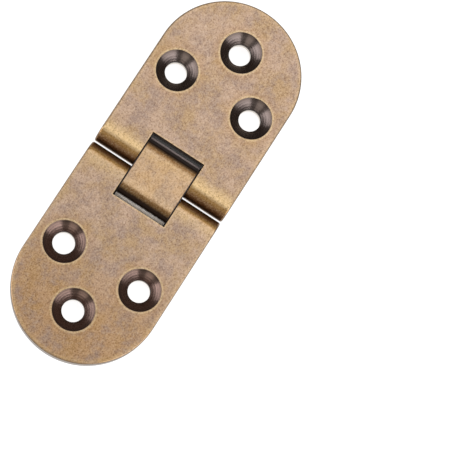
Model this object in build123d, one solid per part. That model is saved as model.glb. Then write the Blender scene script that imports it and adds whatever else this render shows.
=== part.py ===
from build123d import *
import os

# Overall sizes in millimetres, both leaves flat, long axis on X, top face up
LENGTH = 81.0
WIDTH = 30.0
PLATE_T = 4.0
JOINT_T = 5.6

# Joint: two pins across the hinge, a link between them, and a half-round nose on each leaf
PIN_X = 4.2
PIN_R = 1.25
PIN_Z = JOINT_T / 2
PIN_START_Y = -13.0
PIN_END_Y = 14.7
PIN_CHAMFER = 0.2
PIN_RUN_CLEARANCE = 0.05
PIN_BLIND_CLEARANCE = 0.3
NOSE_GAP = 0.37
NOSE_R = 2.85

# Notch that the link sits in, cut half out of each leaf
NOTCH_W = 11.8
NOTCH_END_X = 7.35
NOTCH_CORNER_R = 0.3
LINK_SIDE_GAP = 0.05
LINK_W = NOTCH_W - 2 * LINK_SIDE_GAP
LINK_EDGE_BREAK = 0.2

# Underside of each leaf, where the deep joint end runs out into the plate
BOSS_END_X = 9.6
BOSS_RUNOUT_R = 1.6
BOSS_HEEL_R = 0.5

# Countersunk screw holes: one near the end and a pair near the joint
END_HOLE_X = 30.7
PAIR_HOLE_X = 20.5
PAIR_SPACING = 17.5
HOLE_R = 2.25
SINK_R = 4.2

# Softened edges: the outline is rounded, the notch has small breaks
OUTLINE_EDGE_R = 0.4
NOTCH_EDGE_BREAK = 0.12

HOLE_SPOTS = [
    (END_HOLE_X, 0.0),
    (PAIR_HOLE_X, PAIR_SPACING / 2),
    (PAIR_HOLE_X, -PAIR_SPACING / 2),
]


def span(x0, x1, y0, y1, z0, z1):
    """A box given by its six faces."""
    size = (x1 - x0, y1 - y0, z1 - z0)
    return Pos((x0 + x1) / 2, (y0 + y1) / 2, (z0 + z1) / 2) * Box(*size)


def rod_y(x, z, radius, y0, y1):
    """A round bar along Y."""
    bar = Rotation(90, 0, 0) * Cylinder(radius, y1 - y0)
    return Pos(x, (y0 + y1) / 2, z) * bar


def leaf_outline():
    """The leaf seen from above: a strip with one fully rounded end."""
    nose_x = NOSE_GAP / 2
    straight_end = LENGTH / 2 - WIDTH / 2
    strip = span(nose_x, straight_end, -WIDTH / 2, WIDTH / 2, 0, JOINT_T)
    end = Pos(straight_end, 0, JOINT_T / 2) * Cylinder(WIDTH / 2, JOINT_T)
    return strip + end


def leaf_side():
    """The leaf seen from the side: half-round nose, thick joint end, thinner plate."""
    nose_x = NOSE_GAP / 2
    nose_z = JOINT_T - NOSE_R
    nose_foot_x = nose_x + NOSE_R - (NOSE_R**2 - nose_z**2) ** 0.5
    far_x = LENGTH / 2 + 1
    back_z = JOINT_T - PLATE_T
    edges = Polyline(
        (nose_foot_x, 0),
        (BOSS_END_X, 0),
        (BOSS_END_X + back_z, back_z),
        (far_x, back_z),
        (far_x, JOINT_T),
        (nose_x + NOSE_R, JOINT_T),
    )
    nose = ThreePointArc((nose_x + NOSE_R, JOINT_T), (nose_x, nose_z), (nose_foot_x, 0))
    face = make_face(Curve() + [*edges.edges(), nose])
    heel = face.vertices().sort_by_distance((BOSS_END_X, 0))[0]
    face = fillet(heel, BOSS_HEEL_R)
    runout = face.vertices().sort_by_distance((BOSS_END_X + back_z, back_z))[0]
    face = fillet(runout, BOSS_RUNOUT_R)
    return extrude(Plane.XZ * face, WIDTH / 2 + 1, both=True)


def link_notch():
    """The rectangular cut that takes the link, with small corner radii."""
    cut = span(-1, NOTCH_END_X, -NOTCH_W / 2, NOTCH_W / 2, -1, JOINT_T + 1)
    corners = cut.edges().filter_by(Axis.Z).group_by(Axis.X)[-1]
    return fillet(corners, NOTCH_CORNER_R)


def screw_hole(x, y):
    """A through hole with a ninety degree countersink from the top face."""
    depth = SINK_R - HOLE_R
    drill = Pos(x, y, JOINT_T / 2) * Cylinder(HOLE_R, JOINT_T + 2)
    cone = Pos(x, y, JOINT_T - depth / 2) * Cone(HOLE_R, SINK_R, depth)
    return drill + cone


def pin_hole():
    """The blind hole for the pin, drilled from one long edge."""
    start = PIN_START_Y - PIN_BLIND_CLEARANCE
    return rod_y(PIN_X, PIN_Z, PIN_R, start, WIDTH / 2 + 1)


def near(shape, want):
    """The edges of a shape whose middle satisfies a test on its x, y and z."""
    return [e for e in shape.edges() if want(*(e @ 0.5))]


def soften_leaf(leaf):
    """Rounds the outline with the nose's ends, and breaks the notch's edges; the back's are left sharp."""
    half_w, half_notch = WIDTH / 2, NOTCH_W / 2
    flat_x = NOSE_GAP / 2 + NOSE_R + 0.5
    on_top = lambda z: abs(z - JOINT_T) < 1e-3
    outline = near(
        leaf, lambda x, y, z: on_top(z) and x > flat_x and (abs(y) > half_w - 1e-3 or x > LENGTH / 2 - 1e-3)
    )
    leaf = fillet(outline, OUTLINE_EDGE_R)
    notch = near(
        leaf, lambda x, y, z: on_top(z) and abs(y) < half_notch + 1e-3 and 0 < x < NOTCH_END_X + 1e-3
    )
    return chamfer(notch, NOTCH_EDGE_BREAK)


def leaf():
    """One cast leaf on the +X side."""
    body = leaf_outline() & leaf_side()
    body -= link_notch()
    for x, y in HOLE_SPOTS:
        body -= screw_hole(x, y)
    body -= pin_hole()
    return soften_leaf(body)


def link():
    """The flat link: a bar with half-round ends, bored for both pins."""
    face = Plane.XZ * SlotCenterToCenter(2 * PIN_X, JOINT_T)
    bar = Pos(0, 0, PIN_Z) * extrude(face, LINK_W / 2, both=True)
    rims = [e for e in bar.edges() if abs(abs((e @ 0.5).Y) - LINK_W / 2) < 1e-3]
    bar = chamfer(rims, LINK_EDGE_BREAK)
    for x in (-PIN_X, PIN_X):
        bar -= rod_y(x, PIN_Z, PIN_R + PIN_RUN_CLEARANCE, -LINK_W, LINK_W)
    return bar


def pin():
    """A plain pin with a chamfer on the end that goes in first, on the +X side."""
    bar = rod_y(PIN_X, PIN_Z, PIN_R, PIN_START_Y, PIN_END_Y)
    leading_edge = bar.edges().filter_by(GeomType.CIRCLE).sort_by(Axis.Y)[0]
    return chamfer(leading_edge, PIN_CHAMFER)


def main():
    """Writes one STEP file for each piece."""
    os.makedirs("parts", exist_ok=True)
    leaf_b, pin_b = leaf(), pin()
    pieces = {
        "leaf_a": mirror(leaf_b, about=Plane.YZ),
        "leaf_b": leaf_b,
        "link": link(),
        "pin_a": mirror(pin_b, about=Plane.YZ),
        "pin_b": pin_b,
    }
    for name, shape in pieces.items():
        shape.label = name
        export_step(shape, f"parts/{name}.step")


if __name__ == "__main__":
    main()
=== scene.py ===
"""Dressed scene of a flush flap hinge in antique brass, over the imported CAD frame."""

import logging
import math
from dataclasses import dataclass
from enum import Enum
from typing import Any, Callable

import bmesh
import bpy
from bmesh.types import BMEdge, BMesh, BMFace, BMVert
from mathutils import Matrix, Vector


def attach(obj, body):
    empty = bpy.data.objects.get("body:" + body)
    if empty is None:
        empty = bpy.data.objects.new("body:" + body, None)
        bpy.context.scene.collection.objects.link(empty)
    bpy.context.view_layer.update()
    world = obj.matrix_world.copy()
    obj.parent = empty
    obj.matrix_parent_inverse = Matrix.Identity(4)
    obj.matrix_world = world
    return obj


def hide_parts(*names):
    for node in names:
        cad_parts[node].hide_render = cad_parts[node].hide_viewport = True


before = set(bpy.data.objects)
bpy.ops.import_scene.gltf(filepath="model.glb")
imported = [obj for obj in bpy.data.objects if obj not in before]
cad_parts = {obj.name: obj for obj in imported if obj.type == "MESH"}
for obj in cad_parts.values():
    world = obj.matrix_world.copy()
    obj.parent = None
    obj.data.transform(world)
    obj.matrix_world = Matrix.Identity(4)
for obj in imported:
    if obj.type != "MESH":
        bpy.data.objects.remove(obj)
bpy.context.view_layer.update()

log = logging.getLogger("hinge")

MM = 0.001

# In millimetres: how near a point on a face or an edge is to it, how near two points are that
# become one, and how near a point is to a plane that it counts as lying in
TOUCH = 0.02
WELD = 1e-3
ON_PLANE = 1e-4


class Side(Enum):
    """Which way a leaf reaches from the joint, as a sign on X."""

    A = -1
    B = 1


# Colours and nodes

Point = tuple[float, float, float]

# Node settings that recur
PLUS = {"operation": "ADD"}
LESS = {"operation": "SUBTRACT"}
TIMES = {"operation": "MULTIPLY"}
TIMES_PLUS = {"operation": "MULTIPLY_ADD"}
UNSIGNED = {"operation": "ABSOLUTE"}
SMALLER = {"operation": "MINIMUM"}
LARGER = {"operation": "MAXIMUM"}
EASED = {"interpolation_type": "SMOOTHSTEP"}
UNCLAMPED = {"clamp": False}


def linear(hex_code: str) -> tuple[float, float, float, float]:
    """Turns an sRGB hex colour to linear values.

    Args:
        hex_code: Six hex digits.

    Returns:
        The linear red, green and blue, with an alpha of one.
    """
    channels = [int(hex_code[i : i + 2], 16) / 255 for i in (0, 2, 4)]
    red, green, blue = (c / 12.92 if c <= 0.04045 else ((c + 0.055) / 1.055) ** 2.4 for c in channels)
    return red, green, blue, 1.0


def add(tree: bpy.types.NodeTree, kind: str, settings: dict[str, Any] | None = None, **inputs: Any) -> Any:
    """Adds one node, sets it and links it.

    Args:
        tree: The node tree to add to.
        kind: The node's type name without the ShaderNode prefix.
        settings: Properties of the node itself.
        inputs: Values or sockets by input name, with underscores for spaces, or i0, i1 and so on by place.

    Returns:
        The new node.
    """
    node = tree.nodes.new("ShaderNode" + kind)
    for name, value in (settings or {}).items():
        setattr(node, name, value)
    for name, value in inputs.items():
        by_place = name[0] == "i" and name[1:].isdigit()
        socket = node.inputs[int(name[1:]) if by_place else name.replace("_", " ")]
        if isinstance(value, bpy.types.NodeSocket):
            tree.links.new(value, socket)
        else:
            socket.default_value = value
    return node


class Blend(Enum):
    """How a layer meets the colour under it."""

    COVER = "MIX"
    DARKEN = "MULTIPLY"
    LIGHTEN = "SCREEN"


@dataclass(frozen=True)
class Band:
    """A stretch over which a layer comes in, and how much of it shows past and before that stretch."""

    start: float
    stop: float
    most: float = 1.0
    least: float = 0.0

    def past(self, edge: float) -> "Band":
        """The same band counted from an edge."""
        return Band(edge + self.start, edge + self.stop, self.most, self.least)


class Coat:
    """A colour that is built up in layers in a material's node tree."""

    def __init__(self, tree: bpy.types.NodeTree, first: str) -> None:
        """Starts from a hex colour."""
        self.tree = tree
        self.colour: Any = linear(first)

    def zone(self, *bands: tuple[Any, Band], within: Any = None) -> Any:
        """Masks where the strongest of some bands lies.

        Args:
            bands: Values to follow, each with its band.
            within: A mask that the zone also stays inside.

        Returns:
            The mask's socket.
        """
        mask = None
        for value, band in bands:
            ends = {"From_Min": band.start, "From_Max": band.stop, "To_Min": band.least, "To_Max": band.most}
            eased = add(self.tree, "MapRange", EASED, Value=value, **ends).outputs[0]
            mask = eased if mask is None else add(self.tree, "Math", LARGER, i0=mask, i1=eased).outputs[0]
        if within is not None:
            mask = add(self.tree, "Math", TIMES, i0=mask, i1=within).outputs[0]
        return mask

    def lay(
        self, over: str, *bands: tuple[Any, Band], within: Any = None, blend: Blend = Blend.COVER
    ) -> Any:
        """Lays a colour in the zone of some bands.

        Args:
            over: The layer's hex colour.
            bands: Values to follow, each with its band.
            within: A mask that the layer also stays inside.
            blend: How it meets the colour under it.

        Returns:
            The zone's mask.
        """
        mask = self.zone(*bands, within=within)
        settings = {"data_type": "RGBA", "blend_type": blend.value}
        self.colour = add(self.tree, "Mix", settings, i0=mask, i6=self.colour, i7=linear(over)).outputs[2]
        return mask


@dataclass(frozen=True)
class HingeSizes:
    """The hinge's sizes in millimetres, as the CAD source has them."""

    length: float = 81.0
    width: float = 30.0
    plate: float = 4.0
    depth: float = 5.6
    pin_x: float = 4.2
    pin_r: float = 1.25
    pin_start_y: float = -13.0
    pin_end_y: float = 14.7
    pin_gap: float = 0.3
    pin_bore_r: float = 1.3
    nose_gap: float = 0.37
    nose_r: float = 2.85
    link_width: float = 11.7
    notch_width: float = 11.8
    notch_end: float = 7.35
    boss_end: float = 9.6
    end_hole_x: float = 30.7
    pair_hole_x: float = 20.5
    pair_y: float = 8.75
    hole_r: float = 2.25
    sink_r: float = 4.2


# Finishes


@dataclass(frozen=True)
class AntiqueBrass:
    """Antique brass: brass-plated zinc castings, blackened, buffed back on the flats and lacquered."""

    # The eye sees a warm mottled metal where the wheel reached, bright gold along the edges, part wear and
    # part painted highlight, and a glossy brown black in the recesses that it missed.
    sizes: HingeSizes
    tan: str = "C1A48D"
    ochre: str = "B99A77"
    violet: str = "A18A7E"
    warm: str = "B98E5C"
    pit: str = "8C7760"
    fleck: str = "8E7D68"
    gold: str = "F0CE96"
    brown: str = "7E5C3A"
    roughness: float = 0.4
    dull_roughness: float = 0.8
    dull_metal: float = 1.0
    lacquer: float = 0.12
    lacquer_roughness: float = 0.3

    # The patterns' sizes in millimetres, with how far the second noise lies from the first
    patch_mm: float = 6.0
    blotch_mm: float = 3.0
    speck_mm: float = 0.3
    stain_mm: float = 0.5
    grain_mm: float = 0.3
    apart_mm: Point = (31.0, 17.0, 5.0)

    # The stain moves the edges of the dark layers by this much, and the grain stands this high
    stain_reach: float = 0.16
    relief_mm: float = 0.01
    grain_share: float = 0.5

    # Bands in the noises' own values, and the warmth that grows away from the joint in millimetres
    patch_band: Band = Band(0.4, 0.62)
    blotch_band: Band = Band(0.4, 0.66, 0.75)
    pit_band: Band = Band(0.52, 0.25, 0.65)
    fleck_band: Band = Band(0.48, 0.75, 0.8)
    warm_band: Band = Band(14.0, 34.0, 0.0)

    def material(self, name: str) -> bpy.types.Material:
        """Makes the finish as a material.

        Args:
            name: The material's name.

        Returns:
            The material, reading object coordinates.
        """
        material = bpy.data.materials.new(name)
        material.use_nodes = True
        tree = material.node_tree
        metres = add(tree, "TexCoord").outputs["Object"]
        place = add(tree, "Mapping", Vector=metres, Scale=(1 / MM, 1 / MM, 1 / MM)).outputs[0]
        coat = Coat(tree, self.tan)
        self.clouds(coat, place)
        dull, height = self.wear(coat, place)
        grain = add(tree, "TexNoise", Vector=place, Scale=1 / self.grain_mm, Detail=3.0, Roughness=0.6)
        bumps = add(tree, "Math", TIMES_PLUS, i0=grain.outputs["Fac"], i1=self.grain_share, i2=height)
        bump = add(tree, "Bump", Strength=1.0, Distance=self.relief_mm * MM, Height=bumps.outputs[0])
        metal = add(tree, "MapRange", Value=dull, To_Min=1.0, To_Max=self.dull_metal)
        glosses = {"To_Min": self.roughness, "To_Max": self.dull_roughness}
        rough = add(tree, "MapRange", UNCLAMPED, Value=dull, **glosses)
        surface = tree.nodes["Principled BSDF"]
        tree.links.new(coat.colour, surface.inputs["Base Color"])
        tree.links.new(metal.outputs[0], surface.inputs["Metallic"])
        tree.links.new(rough.outputs[0], surface.inputs["Roughness"])
        tree.links.new(bump.outputs[0], surface.inputs["Normal"])
        surface.inputs["Coat Weight"].default_value = self.lacquer
        surface.inputs["Coat Roughness"].default_value = self.lacquer_roughness
        return material

    def clouds(self, coat: Coat, place: Any) -> None:
        """Lays clouds of ochre, warm brown and violet grey over the tan.

        Args:
            coat: The colour to build on.
            place: The position in millimetres.
        """
        tree = coat.tree
        patch = add(tree, "TexNoise", Vector=place, Scale=1 / self.patch_mm, Detail=3.0, Roughness=0.55)
        apart = add(tree, "Mapping", Vector=place, Location=self.apart_mm).outputs[0]
        blotch = add(tree, "TexNoise", Vector=apart, Scale=1 / self.blotch_mm, Detail=5.0, Roughness=0.65)
        folded = add(tree, "VectorMath", UNSIGNED, i0=place).outputs[0]
        along = add(tree, "SeparateXYZ", Vector=folded).outputs[0]
        coat.lay(self.ochre, (patch.outputs["Fac"], self.patch_band))
        coat.lay(self.warm, (along, self.warm_band))
        coat.lay(self.violet, (blotch.outputs["Fac"], self.blotch_band))

    def specks(self, coat: Coat, place: Any) -> None:
        """Lays fine dark pits and light flecks.

        Args:
            coat: The colour to speckle.
            place: The position in millimetres.
        """
        speck = add(coat.tree, "TexNoise", Vector=place, Scale=1 / self.speck_mm, Detail=2.0, Roughness=0.7)
        coat.lay(self.pit, (speck.outputs["Fac"], self.pit_band), blend=Blend.DARKEN)
        coat.lay(self.fleck, (speck.outputs["Fac"], self.fleck_band), blend=Blend.LIGHTEN)

    def stain(self, tree: bpy.types.NodeTree, place: Any, value: Any) -> tuple[Any, Any]:
        """Roughens a distance, so that the layers that follow it have a stain's edge.

        Args:
            tree: The material's node tree.
            place: The position in millimetres.
            value: The distance.

        Returns:
            The roughened distance, and the stain itself.
        """
        noise = add(tree, "TexNoise", Vector=place, Scale=1 / self.stain_mm, Detail=3.0, Roughness=0.7)
        stain = noise.outputs["Fac"]
        return add(tree, "Math", TIMES_PLUS, i0=stain, i1=self.stain_reach, i2=value).outputs[0], stain

    def wear(self, coat: Coat, place: Any) -> tuple[Any, Any]:
        """Lays the worn edges and the dark recesses over the buffed colour.

        Args:
            coat: The buffed colour to build on.
            place: The position in millimetres.

        Returns:
            How dull the surface is, below zero where it is glossier, and a height for the bump.
        """
        raise NotImplementedError


@dataclass(frozen=True)
class LeafBrass(AntiqueBrass):
    """Antique brass on a leaf, with the cutter's rings in its countersinks."""

    # The eye sees cream rims round dark glossy countersinks, gold where the hand rubs the nose and the notch,
    # both with painted highlight in them, brown down the sides, and painted shade in the slits beside the
    # link.
    olive: str = "BB8F54"
    rim: str = "E6CDA0"
    side: str = "6E6052"
    sunk: str = "73655D"
    # Dark patina of the countersinks' lips and the bores, and the painted shade of the slits beside the link
    wall: str = "34261A"
    drilled: str = "DED6CC"
    # Painted light: a pale colour for the notch's end wall, as if it were lit
    notch_end: str = "DDD5CA"
    turned_gloss: float = 0.4
    turning_mm: float = 0.45
    turning_share: float = 0.22

    # Bands in millimetres outwards from the outline
    border_band: Band = Band(-1.1, -0.4, 0.22)
    side_band: Band = Band(-0.32, -0.06, 0.9)

    # Bands outwards from the rims of the countersinks, and from the straight holes
    halo_band: Band = Band(2.4, 0.3, 0.3)
    rim_band: Band = Band(0.55, 0.3, 0.45)
    sunk_band: Band = Band(0.12, -0.02)
    lip_band: Band = Band(-0.75, -0.15, 0.5)
    bore_band: Band = Band(0.03, 0.01)

    # Bands outwards from the notch, along from the joint's middle, and across from the notch's sides
    notch_band: Band = Band(0.5, 0.14, 0.4)
    lit_end_band: Band = Band(0.1, 0.05)
    slit_shade_band: Band = Band(0.13, 0.08)
    nose_band: Band = Band(5.8, 2.9, 0.75)
    beside_band: Band = Band(-0.3, -0.1, least=1.0)

    # Bands down from the top face, and from the plate's back
    olive_band: Band = Band(0.06, 0.26)
    brown_band: Band = Band(0.2, 0.75)
    front_band: Band = Band(-0.6, -1.0)
    deep_band: Band = Band(-1.2, -0.9)

    def wear(self, coat: Coat, place: Any) -> tuple[Any, Any]:
        """Cream on the rims and gold at the notch and nose, part wear and part painted highlight, black in
        the countersinks, and painted shade in the slits beside the link.

        Args:
            coat: The buffed colour to build on.
            place: The position in millimetres.

        Returns:
            How dull the surface is, below zero where it is glossier, and a height for the bump.
        """
        s, tree = self.sizes, coat.tree
        half = s.width / 2
        radius, reach, notch, nose = self.distances(tree, place)
        parts = add(tree, "SeparateXYZ", Vector=place)
        across = add(tree, "Math", UNSIGNED, i0=parts.outputs[1]).outputs[0]
        depth = add(tree, "Math", LESS, i0=s.depth, i1=parts.outputs[2]).outputs[0]
        depth, _ = self.stain(tree, place, depth)

        coat.lay(self.warm, (radius, self.halo_band.past(s.sink_r)))
        # Wear and painted highlight: the gold along the outline, beside the notch and over the nose is partly
        # worn brass and partly a highlight painted in
        coat.lay(
            self.gold, (reach, self.border_band.past(half)), (notch, self.notch_band), (nose, self.nose_band)
        )
        # Wear and painted highlight: a thin cream ring just outside each countersink's rim
        coat.lay(self.rim, (radius, self.rim_band.past(s.sink_r)))
        coat.lay(self.olive, (depth, self.olive_band))
        coat.lay(self.brown, (depth, self.brown_band))
        self.specks(coat, place)
        coat.lay(self.side, (reach, self.side_band.past(half)))

        front = coat.zone((depth, self.front_band.past(s.plate)))
        sunk = coat.lay(self.sunk, (radius, self.sunk_band.past(s.sink_r)), within=front)
        coat.lay(self.wall, (radius, self.lip_band.past(s.sink_r)), within=sunk)
        # Painted light: the notch's end wall is made pale, as if lit, so that the link's end beside it shows
        # a light band
        coat.lay(self.notch_end, (notch, self.lit_end_band))
        # Painted shade: the notch's edges beside the link are darkened where the slit lies in shade; on leaf
        # B the whole notch edge, its end too
        beside = coat.zone((across, self.beside_band.past(s.notch_width / 2)))
        slit_shade = coat.lay(self.wall, (notch, self.slit_shade_band), within=beside)
        bore = coat.lay(self.wall, (radius, self.bore_band.past(s.hole_r)))
        bright = coat.lay(self.drilled, (depth, self.deep_band.past(s.plate)), within=bore)

        dull = add(tree, "Math", LARGER, i0=slit_shade, i1=bore).outputs[0]
        dull = add(tree, "Math", LESS, i0=dull, i1=bright).outputs[0]
        dull = add(tree, "Math", TIMES_PLUS, i0=sunk, i1=-self.turned_gloss, i2=dull).outputs[0]
        turns = add(tree, "Math", TIMES, i0=radius, i1=2 * math.pi / self.turning_mm).outputs[0]
        groove = add(tree, "Math", {"operation": "SINE"}, i0=turns).outputs[0]
        cut = add(tree, "Math", TIMES, i0=groove, i1=sunk).outputs[0]
        return dull, add(tree, "Math", TIMES, i0=cut, i1=self.turning_share).outputs[0]

    def distances(self, tree: bpy.types.NodeTree, place: Any) -> tuple[Any, Any, Any, Any]:
        """Measures the plan of a leaf in millimetres.

        Args:
            tree: The material's node tree.
            place: The position in millimetres.

        Returns:
            The distance to the nearest hole's centre, that to the spine of the outline, how far
            outside the notch a point lies, and its distance from the joint's middle.
        """
        s = self.sizes
        folded = add(tree, "VectorMath", UNSIGNED, i0=place).outputs[0]
        plan = add(tree, "VectorMath", TIMES, i0=folded, i1=(1, 1, 0)).outputs[0]
        near = []
        for spot in ((s.end_hole_x, 0.0, 0.0), (s.pair_hole_x, s.pair_y, 0.0)):
            near.append(add(tree, "VectorMath", {"operation": "DISTANCE"}, i0=plan, i1=spot).outputs["Value"])
        radius = add(tree, "Math", SMALLER, i0=near[0], i1=near[1]).outputs[0]
        lengths = []
        for corner in ((s.length / 2 - s.width / 2, 0.0, 0.0), (s.notch_end, s.notch_width / 2, 0.0)):
            past = add(tree, "VectorMath", LESS, i0=plan, i1=corner).outputs[0]
            past = add(tree, "VectorMath", LARGER, i0=past, i1=(0, 0, 0)).outputs[0]
            lengths.append(add(tree, "VectorMath", {"operation": "LENGTH"}, i0=past).outputs["Value"])
        nose = add(tree, "SeparateXYZ", Vector=plan).outputs[0]
        return radius, lengths[0], lengths[1], nose


@dataclass(frozen=True)
class LinkBrass(AntiqueBrass):
    """Antique brass on the link, buffed on top, with patina and painted shade over its half-round ends and a
    painted highlight at their tips.
    """

    # The eye sees a warmer top that runs brown and then black over the half-round ends, part patina and part
    # painted shade, with a pale band at their tips that is a painted highlight standing in for reflected
    # light.
    tan: str = "CCAA86"
    ochre: str = "C6A277"
    violet: str = "B39880"
    pit: str = "9A856C"
    brown: str = "8E6A41"
    dark_patina_and_shade: str = "2A1C14"
    # Painted highlight: the pale colour of the band at the ends' tips, standing in for reflected light
    painted_tip_highlight: str = "F4EDE4"
    # Painted highlight: a dimmer grey for the band at the far (+X) end's tip
    painted_far_highlight: str = "C6B6B0"
    dull_metal: float = 0.0
    stain_reach: float = 0.3

    # Bands outwards from the link's middle, which the wear and the painted shade and highlight have their own
    # place for
    wear_middle: float = -0.05
    gold_band: Band = Band(2.2, 3.8, 0.15)
    brown_band: Band = Band(3.9, 4.8)
    black_band: Band = Band(4.97, 5.77)
    tip_highlight_band: Band = Band(6.37, 6.72)

    # Bands along +X, where the far end gets painted shade and a dimmer painted highlight, up from the base,
    # and outwards from the sides, where painted shade meets the slit
    shade_band: Band = Band(4.45, 5.05, 0.55)
    deep_shade_band: Band = Band(5.3, 5.5)
    far_highlight_band: Band = Band(5.45, 6.6)
    above_band: Band = Band(2.9, 3.3)
    side_band: Band = Band(-0.25, -0.12)

    def wear(self, coat: Coat, place: Any) -> tuple[Any, Any]:
        """Brown to black over the half-round ends, patina and painted shade, with a pale painted highlight
        band at their tips.

        Args:
            coat: The buffed colour to build on.
            place: The position in millimetres.

        Returns:
            How dull the surface is, and a height for the bump.
        """
        tree = coat.tree
        x, y, z = add(tree, "SeparateXYZ", Vector=place).outputs
        centred = add(tree, "Math", PLUS, i0=x, i1=-self.wear_middle).outputs[0]
        along = add(tree, "Math", UNSIGNED, i0=centred).outputs[0]
        along, stain = self.stain(tree, place, along)
        across = add(tree, "Math", UNSIGNED, i0=y).outputs[0]

        above = coat.zone((z, self.above_band))
        coat.lay(self.gold, (along, self.gold_band))
        # Patina and painted shade: the half-round ends go brown and then black as they curve down from the
        # top
        coat.lay(self.brown, (along, self.brown_band))
        self.specks(coat, place)
        coat.lay(self.dark_patina_and_shade, (along, self.black_band))
        # Painted highlight: a pale band near the tips of both half-round ends, where they would reflect the
        # lit notch walls
        painted_tip_highlight = coat.lay(self.painted_tip_highlight, (along, self.tip_highlight_band), within=above)
        # Painted shade: the far (+X) end, which turns away from the camera, is darkened further in its colour
        coat.lay(self.dark_patina_and_shade, (x, self.shade_band))
        coat.lay(self.dark_patina_and_shade, (x, self.deep_shade_band))
        # Painted highlight: a dimmer grey band over the far (+X) end's tip, above the base
        coat.lay(self.painted_far_highlight, (x, self.far_highlight_band), within=above)
        # Patina and painted shade: the link's side edges are darkened where they face the leaves across the
        # narrow slit
        side = coat.lay(self.dark_patina_and_shade, (across, self.side_band.past(self.sizes.link_width / 2)))
        return add(tree, "Math", LARGER, i0=painted_tip_highlight, i1=side).outputs[0], stain


@dataclass(frozen=True)
class PinSteel:
    """Drawn steel wire, plated over together with the leaf."""

    # The eye sees a grey brown metal with faint lines along it, a sixth of a millimetre apart.
    steel: str = "8C8175"
    lines_per_metre: Point = (6000.0, 400.0, 6000.0)
    line_band: Band = Band(0.3, 0.7, 0.5, 0.25)

    def material(self, name: str) -> bpy.types.Material:
        """Makes the finish as a material.

        Args:
            name: The material's name.

        Returns:
            The material, reading object coordinates.
        """
        material = bpy.data.materials.new(name)
        material.use_nodes = True
        tree = material.node_tree
        place = add(tree, "TexCoord").outputs["Object"]
        drawn = add(tree, "Mapping", Vector=place, Scale=self.lines_per_metre).outputs[0]
        lines = add(tree, "TexNoise", Vector=drawn, Scale=1.0, Detail=3.0).outputs["Fac"]
        line = self.line_band
        ends = {"From_Min": line.start, "From_Max": line.stop, "To_Min": line.least, "To_Max": line.most}
        rough = add(tree, "MapRange", Value=lines, **ends).outputs[0]
        surface = tree.nodes["Principled BSDF"]
        surface.inputs["Base Color"].default_value = linear(self.steel)
        surface.inputs["Metallic"].default_value = 1.0
        tree.links.new(rough, surface.inputs["Roughness"])
        return material


@dataclass(frozen=True)
class WhitePaper:
    """Matt white paper, lit from within so that it stays white under the soft light."""

    # The eye sees an even white ground, with a trace of fibre about a millimetre across.
    shade: str = "959595"
    light: str = "9E9E9E"
    glow: str = "FFFFFF"
    glow_strength: float = 0.92
    roughness: float = 0.9
    fibres_per_metre: float = 900.0

    def material(self, name: str) -> bpy.types.Material:
        """Makes the finish as a material.

        Args:
            name: The material's name.

        Returns:
            The material, reading object coordinates.
        """
        material = bpy.data.materials.new(name)
        material.use_nodes = True
        tree = material.node_tree
        place = add(tree, "TexCoord").outputs["Object"]
        fibre = add(tree, "TexNoise", Vector=place, Scale=self.fibres_per_metre, Detail=2.0).outputs["Fac"]
        tones = {"i0": fibre, "i6": linear(self.shade), "i7": linear(self.light)}
        tone = add(tree, "Mix", {"data_type": "RGBA"}, **tones).outputs[2]
        surface = tree.nodes["Principled BSDF"]
        tree.links.new(tone, surface.inputs["Base Color"])
        surface.inputs["Roughness"].default_value = self.roughness
        surface.inputs["Emission Color"].default_value = linear(self.glow)
        surface.inputs["Emission Strength"].default_value = self.glow_strength
        return material


# Shapes

# The angle past which an edge is one to round, that up to which shading runs on over an edge, and
# that up to which two faces are one flat, with how much the larger faces lead in the shading
CREASE = math.radians(28)
SMOOTH_UP_TO = math.radians(32)
FLAT_ANGLE = math.radians(0.05)
FLATS_LEAD = 80


def arc(
    bm: BMesh, start: Point, centre: Point, axis: Point, degrees: float, steps: int
) -> tuple[BMVert, BMVert]:
    """Spins one point round a centre.

    Args:
        bm: The mesh to add to.
        start: Where the arc starts.
        centre: The arc's centre.
        axis: The axis that it turns about.
        degrees: How far it turns, by the right-hand rule.
        steps: How many edges it has.

    Returns:
        The first and the last vertex.
    """
    first = bm.verts.new(start)
    spun = bmesh.ops.spin(
        bm,
        geom=[first],
        cent=centre,
        axis=axis,
        dvec=(0, 0, 0),
        angle=math.radians(degrees),
        steps=steps,
        use_merge=False,
        use_normal_flip=False,
        use_duplicate=False,
    )
    last = next(item for item in spun["geom_last"] if isinstance(item, BMVert))
    return first, last


def circle(bm: BMesh, centre: Point, radius: float, steps: int, turned: Matrix) -> None:
    """Adds a ring of edges.

    Args:
        bm: The mesh to add to.
        centre: The ring's centre.
        radius: The ring's radius.
        steps: How many edges it has.
        turned: A rotation from the XY plane.
    """
    matrix = Matrix.Translation(centre) @ turned.to_4x4()
    bmesh.ops.create_circle(bm, cap_ends=False, segments=steps, radius=radius, matrix=matrix)


def gathered(bm: BMesh, before: set[BMFace]) -> tuple[list[BMFace], list[BMEdge], list[BMVert]]:
    """Gathers what was added to a mesh, always in the same order.

    Args:
        bm: The mesh.
        before: The faces that it had before.

    Returns:
        The newer faces, their edges and their vertices, each one once.
    """
    faces = [face for face in bm.faces if face not in before]
    edges = dict.fromkeys(edge for face in faces for edge in face.edges)
    verts = dict.fromkeys(vert for face in faces for vert in face.verts)
    return faces, list(edges), list(verts)


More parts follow.
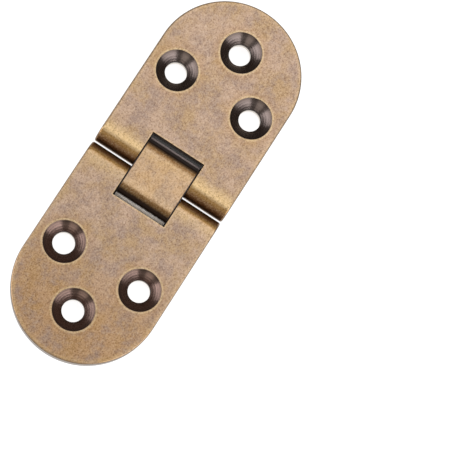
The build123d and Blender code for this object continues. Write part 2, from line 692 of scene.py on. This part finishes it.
def put_in_order(bm: BMesh) -> None:
    """Sorts the edges and faces by their vertices, because some operators add them in an order that varies.

    Args:
        bm: The mesh, whose vertices come in a fixed order.
    """
    bm.verts.index_update()
    count = len(bm.verts)

    def rank(item: BMEdge | BMFace) -> int:
        """A number that no other edge, or no other face, has."""
        lowest = sorted(vert.index for vert in item.verts)[:3]
        return sum(index * count**power for power, index in enumerate(lowest))

    bm.edges.sort(key=rank)
    bm.faces.sort(key=rank)


def rod(bm: BMesh, x: float, sizes: HingeSizes, start_y: float, end_y: float, steps: int) -> None:
    """Adds a closed round rod of a pin's radius, at the pins' height.

    Args:
        bm: The mesh to add to.
        x: Where its axis is.
        sizes: The hinge's sizes.
        start_y: Where it starts.
        end_y: Where it ends.
        steps: How many facets it has.
    """
    middle = (x, (start_y + end_y) / 2, sizes.depth / 2)
    bmesh.ops.create_cone(
        bm,
        cap_ends=True,
        segments=steps,
        radius1=sizes.pin_r,
        radius2=sizes.pin_r,
        depth=end_y - start_y,
        matrix=Matrix.Translation(middle) @ Matrix.Rotation(math.pi / 2, 4, "X"),
    )


def round_edges(bm: BMesh, edges: list[BMEdge], radius: float, segments: int) -> None:
    """Rounds some edges.

    Args:
        bm: The mesh.
        edges: The edges to round.
        radius: How far the rounding reaches in from each edge.
        segments: How many facets it has.
    """
    bmesh.ops.bevel(
        bm,
        geom=edges,
        offset=radius,
        offset_type="OFFSET",
        segments=segments,
        profile=0.5,
        affect="EDGES",
        clamp_overlap=False,
        loop_slide=False,
        material=-1,
    )
    put_in_order(bm)


def sharp(bm: BMesh, want: Callable[[Vector], bool]) -> list[BMEdge]:
    """Finds sharp edges.

    Args:
        bm: The mesh.
        want: A test on an edge's middle.

    Returns:
        The sharp edges that pass it.
    """
    creases = [edge for edge in bm.edges if len(edge.link_faces) == 2 and edge.calc_face_angle() > CREASE]
    return [edge for edge in creases if want((edge.verts[0].co + edge.verts[1].co) / 2)]


def finished(bm: BMesh, name: str, material: bpy.types.Material) -> bpy.types.Object:
    """Turns a mesh modelled in millimetres to an object in metres.

    Args:
        bm: The mesh, which is freed.
        name: The object's name.
        material: Its material.

    Returns:
        The new object, linked to the scene.
    """
    bmesh.ops.scale(bm, vec=(MM, MM, MM), verts=bm.verts)
    mesh = bpy.data.meshes.new(name)
    bm.to_mesh(mesh)
    bm.free()
    mesh.materials.append(material)
    made = bpy.data.objects.new(name, mesh)
    bpy.context.scene.collection.objects.link(made)
    return made


def soften(piece: bpy.types.Object) -> None:
    """Shades a piece smooth up to its real corners, with its flats kept flat.

    Args:
        piece: The piece, already modelled.
    """
    piece.data.shade_smooth()
    piece.data.set_sharp_from_angle(angle=SMOOTH_UP_TO)
    weighted = piece.modifiers.new("flat_faces_lead", "WEIGHTED_NORMAL")
    weighted.keep_sharp = True
    weighted.weight = FLATS_LEAD


def dress(piece: bpy.types.Object, body: str, node: str) -> bpy.types.Object:
    """Shades a piece and sets it on its body in place of its CAD node.

    Args:
        piece: The piece, already modelled.
        body: The body that it rides on.
        node: The CAD node that it replaces.

    Returns:
        The same piece.
    """
    soften(piece)
    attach(piece, body)
    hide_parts(node)
    return piece


@dataclass
class Leaf:
    """One cast leaf: a round-ended plate, deeper at the joint, with a half notch and three countersinks."""

    side: Side
    sizes: HingeSizes
    finish: AntiqueBrass
    end_steps: int = 96
    hole_steps: int = 72
    nose_steps: int = 14
    corner_steps: int = 4
    boss_steps: int = 4
    bore_steps: int = 64
    slope: float = 45.0
    heel_r: float = 0.5
    runout_r: float = 1.6
    corner_r: float = 0.3
    drill_past: float = 2.0
    outline_edge: float = 0.4
    outline_steps: int = 5
    notch_edge: float = 0.12
    notch_steps: int = 3
    back_edge: float = 0.12
    back_steps: int = 2
    rim_edge: float = 0.1
    rim_steps: int = 3

    @property
    def name(self) -> str:
        """The CAD node that this leaf stands for."""
        return "leaf_" + self.side.name.lower()

    @property
    def nose_x(self) -> float:
        """Where the nose's flat front is."""
        return self.sizes.nose_gap / 2

    @property
    def foot_x(self) -> float:
        """Where the nose's round meets the flat underside."""
        s = self.sizes
        return self.nose_x + s.nose_r - math.sqrt(s.nose_r**2 - (s.depth - s.nose_r) ** 2)

    def nose_rise(self, x: float) -> float:
        """Follows the nose's round.

        Args:
            x: A place along the leaf.

        Returns:
            How far the round stands off its own centre line there.
        """
        s = self.sizes
        inside = max(0.0, self.nose_x + s.nose_r - x)
        return math.sqrt(max(0.0, s.nose_r**2 - inside**2))

    def spots(self) -> list[tuple[float, float]]:
        """The centres of the screw holes."""
        s = self.sizes
        return [(s.end_hole_x, 0.0), (s.pair_hole_x, s.pair_y), (s.pair_hole_x, -s.pair_y)]

    def stations(self) -> list[float]:
        """Works out where the sheets are cut across, so that they can follow the nose and the boss.

        Returns:
            Each cut's x.
        """
        s = self.sizes
        nose = self.nose_x + s.nose_r
        turns = [math.radians(90 * k / self.nose_steps) for k in range(self.nose_steps)]
        cuts = [nose - s.nose_r * math.sin(turn) for turn in turns]
        cuts.append(self.foot_x)
        heel, runout = self.boss_arcs()
        for k in range(self.boss_steps + 1):
            turn = math.radians(self.slope * k / self.boss_steps)
            cuts.append(heel[0] + self.heel_r * math.sin(turn))
            cuts.append(runout[0] - self.runout_r * math.sin(turn))
        return cuts

    def boss_arcs(self) -> tuple[tuple[float, float], tuple[float, float]]:
        """Places the two arcs that join the boss to the plate.

        Returns:
            The centres, in x and z, of the heel's rounding and of the runout's hollow.
        """
        s = self.sizes
        rise = s.depth - s.plate
        tangent = math.tan(math.radians(self.slope / 2))
        heel = (s.boss_end - tangent * self.heel_r, self.heel_r)
        runout = (s.boss_end + rise + tangent * self.runout_r, rise - self.runout_r)
        return heel, runout

    def top(self, x: float) -> float:
        """The top surface's height at x."""
        return self.sizes.depth - self.sizes.nose_r + self.nose_rise(x)

    def back(self, x: float) -> float:
        """Follows the back surface: nose, flat, heel, slope, hollow and plate.

        Args:
            x: A place along the leaf.

        Returns:
            The surface's height there.
        """
        s = self.sizes
        heel, runout = self.boss_arcs()
        reach = math.sin(math.radians(self.slope))
        if x <= heel[0]:
            return max(0.0, s.depth - s.nose_r - self.nose_rise(x))
        if x <= heel[0] + self.heel_r * reach:
            return heel[1] - math.sqrt(self.heel_r**2 - (x - heel[0]) ** 2)
        if x < runout[0] - self.runout_r * reach:
            return x - s.boss_end
        if x < runout[0]:
            return runout[1] + math.sqrt(self.runout_r**2 - (runout[0] - x) ** 2)
        return s.depth - s.plate

    def wire(self, bm: BMesh, hole_r: float) -> list[BMEdge]:
        """Draws the leaf's plan as loops of edges.

        Args:
            bm: The mesh to add to.
            hole_r: The radius of the screw holes in this sheet.

        Returns:
            The loops' edges.
        """
        s = self.sizes
        before = set(bm.edges)
        half, slot, stop, r = s.width / 2, s.notch_width / 2, s.notch_end, self.corner_r
        end_x = s.length / 2 - half
        up = (0, 0, 1)
        end = arc(bm, (end_x, -half, 0), (end_x, 0, 0), up, 180, self.end_steps)
        high = arc(bm, (stop - r, slot, 0), (stop - r, slot - r, 0), up, -90, self.corner_steps)
        low = arc(bm, (stop, r - slot, 0), (stop - r, r - slot, 0), up, -90, self.corner_steps)
        corners = [bm.verts.new((self.nose_x, y, 0)) for y in (half, slot, -slot, -half)]
        left, right = corners[:2], corners[2:]
        for run in ([end[1], *left, high[0]], [high[1], low[0]], [low[1], *right, end[0]]):
            for one, other in zip(run, run[1:]):
                bm.edges.new((one, other))
        for x, y in self.spots():
            circle(bm, (x, y, 0), hole_r, self.hole_steps, Matrix.Identity(3))
        return [edge for edge in bm.edges if edge not in before]

    def sheet(self, bm: BMesh, hole_r: float, height: Callable[[float], float]) -> list[BMEdge]:
        """Fills the plan and bends it to a height along x.

        Args:
            bm: The mesh to add to.
            hole_r: The radius of the screw holes in this sheet.
            height: The height at each x.

        Returns:
            The open edges of the new sheet.
        """
        before = set(bm.faces)
        wire = self.wire(bm, hole_r)
        bmesh.ops.triangle_fill(bm, use_beauty=True, use_dissolve=False, edges=wire, normal=(0, 0, 1))
        for x in self.stations():
            faces, edges, verts = gathered(bm, before)
            bmesh.ops.bisect_plane(
                bm, geom=faces + edges + verts, dist=ON_PLANE, plane_co=(x, 0, 0), plane_no=(1, 0, 0)
            )
        faces, edges, verts = gathered(bm, before)
        for vert in verts:
            vert.co.z = height(vert.co.x)
        return [edge for edge in edges if len(edge.link_faces) == 1]

    def at_hole(self, point: Vector) -> tuple[float, float] | None:
        """The screw hole that a point of the sheets borders, if any."""
        limit = self.sizes.sink_r + TOUCH
        return next((c for c in self.spots() if math.hypot(point.x - c[0], point.y - c[1]) < limit), None)

    def in_front(self, edge: BMEdge) -> bool:
        """Whether an edge lies on the nose's foremost line, where both sheets meet."""
        return max(vert.co.x for vert in edge.verts) < self.nose_x + ON_PLANE

    def sink(self, bm: BMesh, rim: list[BMEdge]) -> None:
        """Draws the countersinks' rims down to the straight holes, and those to the back.

        Args:
            bm: The mesh.
            rim: The rims' edges.
        """
        s = self.sizes
        shrink = s.hole_r / s.sink_r
        throat_z = s.depth - (s.sink_r - s.hole_r)
        cone = bmesh.ops.extrude_edge_only(bm, edges=rim)["geom"]
        for vert in (item for item in cone if isinstance(item, BMVert)):
            x, y = self.at_hole(vert.co)
            vert.co = (x + (vert.co.x - x) * shrink, y + (vert.co.y - y) * shrink, throat_z)
        throat = [item for item in cone if isinstance(item, BMEdge)]
        shaft = bmesh.ops.extrude_edge_only(bm, edges=throat)["geom"]
        for vert in (item for item in shaft if isinstance(item, BMVert)):
            vert.co.z = s.depth - s.plate

    def body(self) -> BMesh:
        """Models the leaf on the +X side.

        Returns:
            The closed mesh in millimetres, without its pin hole.
        """
        s = self.sizes
        bm = bmesh.new()
        self.sheet(bm, s.hole_r, self.back)
        border = self.sheet(bm, s.sink_r, self.top)
        rim = [edge for edge in border if self.at_hole(edge.verts[0].co)]
        outline = [edge for edge in border if not self.at_hole(edge.verts[0].co) and not self.in_front(edge)]
        wall = bmesh.ops.extrude_edge_only(bm, edges=outline)["geom"]
        for vert in (item for item in wall if isinstance(item, BMVert)):
            vert.co.z = self.back(vert.co.x)
        self.sink(bm, rim)
        put_in_order(bm)
        bmesh.ops.remove_doubles(bm, verts=bm.verts, dist=WELD)
        bmesh.ops.recalc_face_normals(bm, faces=bm.faces)
        # Each flat's triangles become one face, so that the roundings along it stay even
        bmesh.ops.dissolve_limit(
            bm,
            angle_limit=FLAT_ANGLE,
            use_dissolve_boundaries=False,
            verts=bm.verts[:],
            edges=bm.edges[:],
            delimit=set(),
        )
        self.round_off(bm)
        return bm

    def round_off(self, bm: BMesh) -> None:
        """Rounds the outline, the notch, the back's outer edges and the countersinks' rims.

        Args:
            bm: The mesh, with every edge still sharp.
        """
        s = self.sizes
        half, slot, end_x = s.width / 2, s.notch_width / 2, s.length / 2 - s.width / 2

        def outer(p: Vector) -> bool:
            """Whether a point is on the outline."""
            return math.hypot(max(p.x - end_x, 0.0), p.y) > half - TOUCH

        def notch(p: Vector) -> bool:
            """Whether a point is on the notch's edge."""
            return p.x < s.notch_end + TOUCH and abs(p.y) < slot + TOUCH

        def low(p: Vector) -> bool:
            """Whether a point is on the back, past the nose's foot."""
            return p.x > self.foot_x and p.z < self.back(p.x) + TOUCH

        def rim(p: Vector) -> bool:
            """Whether a point is on a countersink's rim."""
            return self.at_hole(p) is not None and p.z > s.depth - TOUCH

        for want, radius, segments in (
            (lambda p: outer(p) and not low(p), self.outline_edge, self.outline_steps),
            (lambda p: notch(p) and not low(p), self.notch_edge, self.notch_steps),
            (lambda p: outer(p) and low(p), self.back_edge, self.back_steps),
            (rim, self.rim_edge, self.rim_steps),
        ):
            round_edges(bm, sharp(bm, want), radius, segments)

    def drill(self, leaf: bpy.types.Object) -> None:
        """Drills the blind pin hole through both arms.

        Args:
            leaf: The leaf on the +X side.
        """
        s = self.sizes
        bm = bmesh.new()
        rod(bm, s.pin_x, s, s.pin_start_y - s.pin_gap, s.width / 2 + self.drill_past, self.bore_steps)
        bit = finished(bm, "pin_drill", leaf.data.materials[0])
        cut = leaf.modifiers.new("pin_hole", "BOOLEAN")
        cut.operation, cut.solver, cut.object = "DIFFERENCE", "EXACT", bit
        graph = bpy.context.evaluated_depsgraph_get()
        drilled = bpy.data.meshes.new_from_object(leaf.evaluated_get(graph))
        leaf.modifiers.clear()
        leaf.data = drilled
        bpy.data.objects.remove(bit)

    def build(self) -> bpy.types.Object:
        """Models, drills and dresses the leaf.

        Returns:
            The piece, riding on its body in place of its CAD node.
        """
        brass = self.finish.material(self.name + "_antique_brass")
        leaf = finished(self.body(), self.name + "_casting", brass)
        self.drill(leaf)
        if self.side is Side.A:
            bm = bmesh.new()
            bm.from_mesh(leaf.data)
            bmesh.ops.scale(bm, vec=(-1, 1, 1), verts=bm.verts)
            bmesh.ops.remove_doubles(bm, verts=bm.verts, dist=ON_PLANE * MM)
            bmesh.ops.recalc_face_normals(bm, faces=bm.faces)
            bm.to_mesh(leaf.data)
            bm.free()
        return dress(leaf, body=self.name, node=self.name)


@dataclass
class Link:
    """The link block: a bar with half-round ends, bored for both pins."""

    sizes: HingeSizes
    finish: AntiqueBrass
    end_steps: int = 36
    bore_steps: int = 48
    edge_steps: int = 4
    edge: float = 0.2
    swell: float = 0.04

    def build(self) -> bpy.types.Object:
        """Models and dresses the link.

        Returns:
            The piece, riding on its body in place of its CAD node.
        """
        s = self.sizes
        half, middle = s.link_width / 2 + self.swell, s.depth / 2
        bm = bmesh.new()
        back = (0, -1, 0)
        right = arc(bm, (s.pin_x, -half, 0), (s.pin_x, -half, middle), back, 180, self.end_steps)
        left = arc(bm, (-s.pin_x, -half, s.depth), (-s.pin_x, -half, middle), back, 180, self.end_steps)
        bm.edges.new((right[1], left[0]))
        bm.edges.new((left[1], right[0]))
        upright = Matrix.Rotation(math.pi / 2, 3, "X")
        for x in (-s.pin_x, s.pin_x):
            circle(bm, (x, -half, middle), s.pin_bore_r, self.bore_steps, upright)
        bmesh.ops.triangle_fill(bm, use_beauty=True, use_dissolve=False, edges=bm.edges[:], normal=back)
        far = bmesh.ops.extrude_face_region(bm, geom=bm.faces[:], use_keep_orig=True)["geom"]
        verts = [item for item in far if isinstance(item, BMVert)]
        bmesh.ops.translate(bm, vec=(0, 2 * half, 0), verts=verts)
        bmesh.ops.recalc_face_normals(bm, faces=bm.faces)

        def rim(p: Vector) -> bool:
            """Whether a point is on the outline of a side, and not round a bore."""
            by_bore = math.hypot(abs(p.x) - s.pin_x, p.z - middle) < s.pin_bore_r + TOUCH
            return abs(p.y) > half - TOUCH and not by_bore

        round_edges(bm, sharp(bm, rim), self.edge, self.edge_steps)
        link = finished(bm, "link_block", self.finish.material("link_antique_brass"))
        return dress(link, body="link", node="link")


@dataclass
class Pin:
    """One hidden pin, drawn wire with a chamfered lead, pressed in a leaf."""

    side: Side
    sizes: HingeSizes
    finish: PinSteel
    steps: int = 64
    chamfer: float = 0.2

    def build(self) -> bpy.types.Object:
        """Models and dresses the pin.

        Returns:
            The piece, riding on its leaf in place of its CAD node.
        """
        s = self.sizes
        letter = self.side.name.lower()
        name = "pin_" + letter
        bm = bmesh.new()
        rod(bm, self.side.value * s.pin_x, s, s.pin_start_y, s.pin_end_y, self.steps)
        lead = sharp(bm, lambda p: p.y < s.pin_start_y + TOUCH)
        bmesh.ops.bevel(
            bm, geom=lead, offset=self.chamfer, segments=1, profile=0.5, affect="EDGES", material=-1
        )
        pin = finished(bm, name + "_wire", self.finish.material(name + "_steel"))
        return dress(pin, body="leaf_" + letter, node=name)


@dataclass(frozen=True)
class Softbox:
    """A square soft light: where it hangs and how large it is, in metres, and how bright its face looks."""

    name: str
    place: Point
    size: float
    glow: float
    tint: str = "FFFFFF"

    def build(self) -> None:
        """Hangs the light and aims it at the hinge."""
        light = bpy.data.lights.new(self.name, "AREA")
        light.shape = "SQUARE"
        light.size = self.size
        light.energy = self.glow * math.pi * self.size**2
        light.color = linear(self.tint)[:3]
        lamp = bpy.data.objects.new(self.name, light)
        lamp.location = self.place
        lamp.rotation_mode = "QUATERNION"
        lamp.rotation_quaternion = (-Vector(self.place)).to_track_quat("-Z", "Y")
        bpy.context.scene.collection.objects.link(lamp)


@dataclass
class Studio:
    """White paper, soft light and the photograph's camera, with its sizes in metres."""

    lights: tuple[Softbox, ...] = (
        Softbox("overhead", (0.22, -0.06, 0.5), 0.46, 1.12),
        Softbox("left_side", (-0.2, 0.43, 0.2), 0.55, 2.7, "F0F4FF"),
        Softbox("near_side", (-0.16, -0.45, 0.2), 0.55, 2.7, "F0F4FF"),
        Softbox("front", (-0.46, 0.0, 0.14), 0.24, 0.9),
    )
    surround: str = "FFFFFF"
    surround_strength: float = 0.35
    finish: WhitePaper = WhitePaper()
    paper_reach: float = 1.5

    # The camera that was fitted to the outline and the six holes
    focal_px: float = 2000.0
    frame_px: float = 470.0
    sensor_mm: float = 36.0
    nearest: float = 0.01
    farthest: float = 10.0
    place: Point = (-0.0752, -0.0052, 0.3919)
    right: Point = (0.5297, -0.8381, 0.1307)
    down: Point = (-0.827, -0.5445, -0.14)
    ahead: Point = (0.1885, -0.0339, -0.9815)

    def floor(self) -> None:
        """Lays the paper under the hinge."""
        bm = bmesh.new()
        bmesh.ops.create_grid(bm, x_segments=1, y_segments=1, size=self.paper_reach)
        mesh = bpy.data.meshes.new("paper")
        bm.to_mesh(mesh)
        bm.free()
        mesh.materials.append(self.finish.material("white_paper"))
        paper = bpy.data.objects.new("paper", mesh)
        bpy.context.scene.collection.objects.link(paper)

    def camera(self) -> None:
        """Sets the camera that was fitted to the photograph."""
        lens = bpy.data.cameras.new("camera")
        lens.sensor_width = self.sensor_mm
        lens.lens = self.focal_px * self.sensor_mm / self.frame_px
        lens.clip_start = self.nearest
        lens.clip_end = self.farthest
        turn = Matrix((Vector(self.right), -Vector(self.down), -Vector(self.ahead))).transposed().to_4x4()
        camera = bpy.data.objects.new("camera", lens)
        camera.matrix_world = Matrix.Translation(self.place) @ turn
        bpy.context.scene.collection.objects.link(camera)
        bpy.context.scene.camera = camera

    def build(self) -> None:
        """Sets the floor, the surround, the lights and the camera."""
        world = bpy.data.worlds.new("studio")
        world.use_nodes = True
        background = world.node_tree.nodes["Background"]
        background.inputs["Color"].default_value = linear(self.surround)
        background.inputs["Strength"].default_value = self.surround_strength
        bpy.context.scene.world = world
        bpy.context.scene.view_settings.view_transform = "Standard"
        self.floor()
        for light in self.lights:
            light.build()
        self.camera()


def main() -> None:
    """Builds the pieces and the studio in order."""
    logging.basicConfig(level=logging.INFO, format="%(message)s")
    sizes = HingeSizes()
    # Leaf A is warmer at its end, browner in its countersinks, has less gold on its nose, wear and painted
    # highlight, and keeps its notch end pale, painted light, with no painted shade over it
    warmer = LeafBrass(
        sizes,
        sunk="866D61",
        warm_band=Band(14.0, 34.0, 0.65),
        nose_band=Band(5.8, 2.9, 0.35),
        beside_band=Band(-0.3, -0.1),
    )
    parts = [Leaf(Side.A, sizes, warmer), Leaf(Side.B, sizes, LeafBrass(sizes))]
    parts += [Link(sizes, LinkBrass(sizes))]
    parts += [Pin(side, sizes, PinSteel()) for side in Side]
    for part in parts:
        piece = part.build()
        log.info("%s: %d faces", piece.name, len(piece.data.polygons))
    Studio().build()


if __name__ == "__main__":
    main()
